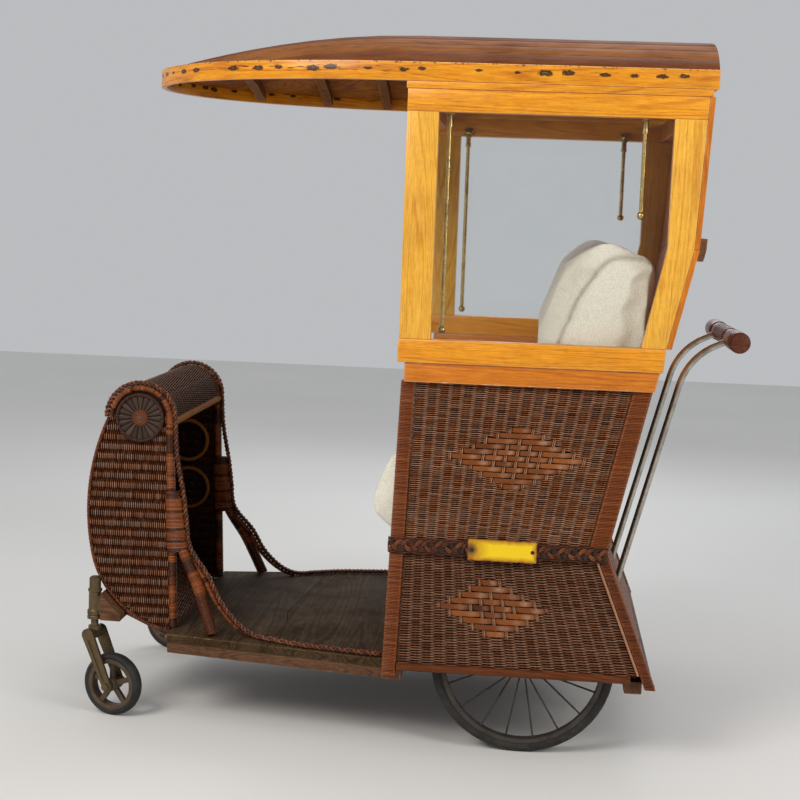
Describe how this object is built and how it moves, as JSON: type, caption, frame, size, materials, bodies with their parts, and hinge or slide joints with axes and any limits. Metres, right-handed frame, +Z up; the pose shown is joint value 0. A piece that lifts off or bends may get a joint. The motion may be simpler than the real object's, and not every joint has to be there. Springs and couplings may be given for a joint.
{
  "type": "boardwalk rolling chair",
  "caption": "Canopied wicker push chair: woven seat box, wooden glazed cab with a bowed visor roof, foot platform, curled dash, spoked rear wheels, swivel casters and a push bar.",
  "frame": {"origin": "on the ground under the middle of the chair's bounding box", "axes": "-X is the way the chair is pushed, +X is towards the push handle, +Y is the chair's right, +Z is up"},
  "size_m": [1.567, 1.01, 1.671],
  "materials": {
    "gold_wood": "varnished, worn",
    "amber_wood": "varnished",
    "roof_wood": "weathered varnish",
    "dark_wood": "dark varnish",
    "grey_wood": "weathered, bare",
    "wicker": "stained reed, worn",
    "wrapped_cane": "wrapped cane",
    "rattan": "bare rattan",
    "boucle": "looped cream cloth",
    "yellow_enamel": "chipped enamel",
    "glass": "clear",
    "brass": "tarnished",
    "bronze_iron": "olive bronze paint, worn",
    "nickel": "dull nickel",
    "dark_iron": "oiled",
    "grey_rubber": "grey rubber",
    "grip_wood": "turned, worn"
  },
  "bodies": {
    "chair": {"corner_posts": "wrapped_cane", "side_panels": "wicker", "side_skirts": "wicker", "back_panel": "wicker", "back_skirt": "wicker", "front_apron": "wicker", "bottom_rails": "rattan", "belt_braids": "rattan", "name_plate": "yellow_enamel", "seat_deck": "dark_wood", "seat_cushion": "boucle", "back_cushion": "boucle", "ledges": "amber_wood", "sill_rails": "amber_wood", "window_stiles": "gold_wood", "top_rails": "amber_wood", "cross_heads": "amber_wood", "cornices": "gold_wood", "side_glass": "glass", "rear_boards": "dark_wood", "rear_batten": "grey_wood", "roof_fascia": "gold_wood", "roof_deck": "roof_wood", "roof_bows": "roof_wood", "roof_end": "gold_wood", "shade_rods": "brass", "foot_board_front": "grey_wood", "foot_board_rear": "grey_wood", "platform_frame": "grey_wood", "chassis_rails": "dark_wood", "cross_sills": "dark_wood", "front_bolster": "grey_wood", "caster_sockets": "bronze_iron", "rear_axle": "dark_iron", "axle_blocks": "dark_iron", "push_rods": "nickel", "push_handle": "grip_wood", "dash_front": "wicker", "dash_sides": "wicker", "dash_roll": "wicker", "dash_rims": "wrapped_cane", "dash_rosettes": "wrapped_cane", "dash_rail": "rattan", "dash_braces": "wrapped_cane", "dash_braids": "rattan", "dash_hoops": "rattan"},
    "caster_left": {"caster_fork_left": "bronze_iron"},
    "caster_wheel_body_left": {"caster_wheel_left": "bronze_iron", "caster_tyre_left": "grey_rubber"},
    "caster_right": {"caster_fork_right": "bronze_iron"},
    "caster_wheel_body_right": {"caster_wheel_right": "bronze_iron", "caster_tyre_right": "grey_rubber"},
    "rear_wheel_body_left": {"rear_wheel_left": "nickel", "rear_tyre_left": "grey_rubber"},
    "rear_wheel_body_right": {"rear_wheel_right": "nickel", "rear_tyre_right": "grey_rubber"}
  },
  "joints": [
    {"name": "caster_swivel_left", "type": "hinge", "parent": "chair", "child": "caster_left", "pos_m": [-0.753, -0.308, 0.26], "axis": [0, 0, 1], "continuous": true},
    {"name": "caster_spin_left", "type": "hinge", "parent": "caster_left", "child": "caster_wheel_body_left", "pos_m": [-0.7004, -0.32408, 0.076], "axis": [0.2924, 0.9563, 0], "continuous": true},
    {"name": "rear_spin_left", "type": "hinge", "parent": "chair", "child": "rear_wheel_body_left", "pos_m": [0.289, -0.405, 0.213], "axis": [0, 1, 0], "continuous": true},
    {"name": "caster_swivel_right", "type": "hinge", "parent": "chair", "child": "caster_right", "pos_m": [-0.753, 0.308, 0.26], "axis": [0, 0, 1], "continuous": true},
    {"name": "caster_spin_right", "type": "hinge", "parent": "caster_right", "child": "caster_wheel_body_right", "pos_m": [-0.7004, 0.29192, 0.076], "axis": [0.2924, 0.9563, 0], "continuous": true},
    {"name": "rear_spin_right", "type": "hinge", "parent": "chair", "child": "rear_wheel_body_right", "pos_m": [0.289, 0.405, 0.213], "axis": [0, 1, 0], "continuous": true}
  ]
}
